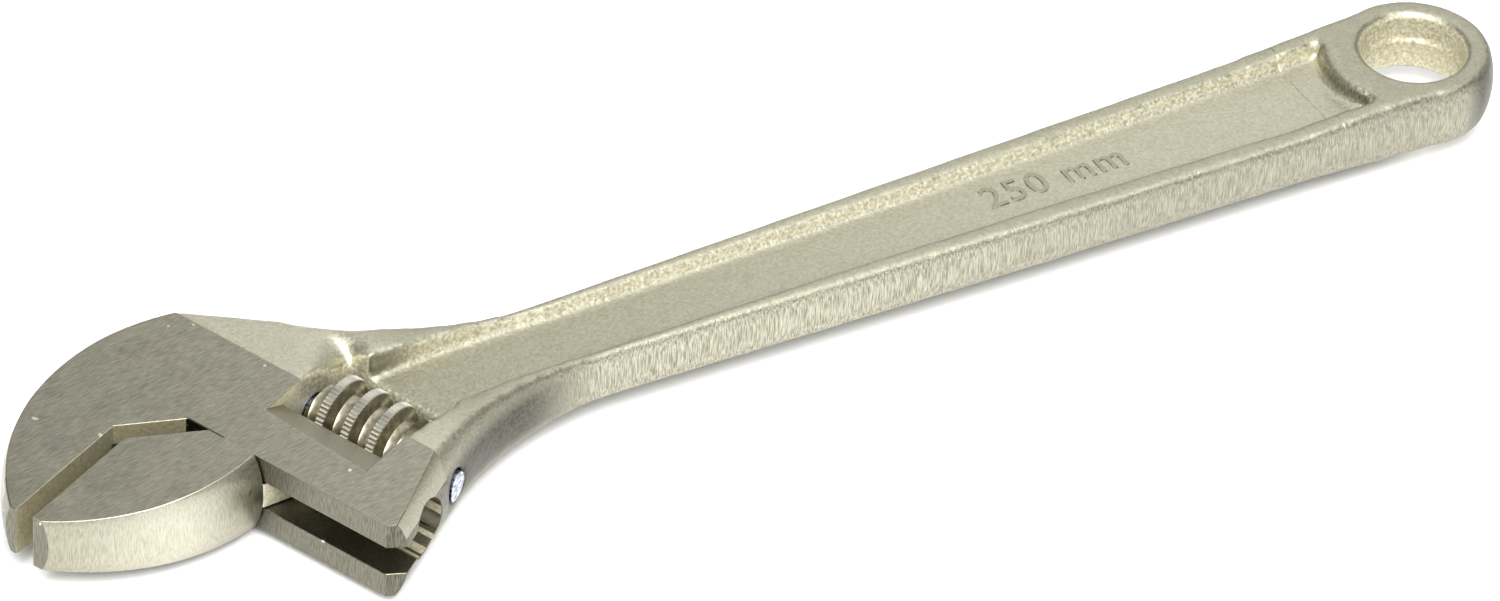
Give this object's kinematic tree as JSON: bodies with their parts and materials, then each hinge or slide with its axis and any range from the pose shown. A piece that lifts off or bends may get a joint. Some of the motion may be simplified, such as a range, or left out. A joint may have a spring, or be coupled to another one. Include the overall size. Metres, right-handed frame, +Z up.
{
  "type": "adjustable wrench",
  "caption": "Adjustable wrench: an angled head with a sliding lower jaw driven by a knurled worm, on a recessed forged handle with a hanging hole.",
  "frame": {"origin": "middle of the wrench's footprint, at the height of its lowest point as it lies flat", "axes": "+X along the handle from the jaws to the hanging hole, +Z up through the flat faces, +Y away from the moving jaw"},
  "size_m": [0.2542, 0.062, 0.0162],
  "materials": {
    "forged_steel": "satin nickel over forged and belt-ground steel",
    "ground_steel": "ground flat faces and belt-ground crowned back, satin nickel",
    "bright_plating": "bright nickel with knurled crests",
    "pin_steel": "bare cut end",
    "spring_steel": "drawn wire"
  },
  "bodies": {
    "handle": {"body": "forged_steel", "worm_pin": "pin_steel", "worm_spring": "spring_steel"},
    "jaw": {"moving_jaw": "ground_steel"},
    "worm": {"adjusting_worm": "bright_plating"}
  },
  "joints": [
    {"name": "jaw_slide", "type": "slide", "parent": "handle", "child": "jaw", "axis": [0.3875, -0.9219, 0], "range_m": [-0.0029, 0.026]},
    {"name": "worm_spin", "type": "hinge", "parent": "handle", "child": "worm", "pos_m": [-0.07098, -0.00468, 0.00808], "axis": [-0.3875, 0.9219, 0], "range_deg": [-225, 1995]}
  ],
  "couplings": [
    {"joint": "worm_spin", "follows": "jaw_slide", "rad_per_m": 1336.8}
  ]
}
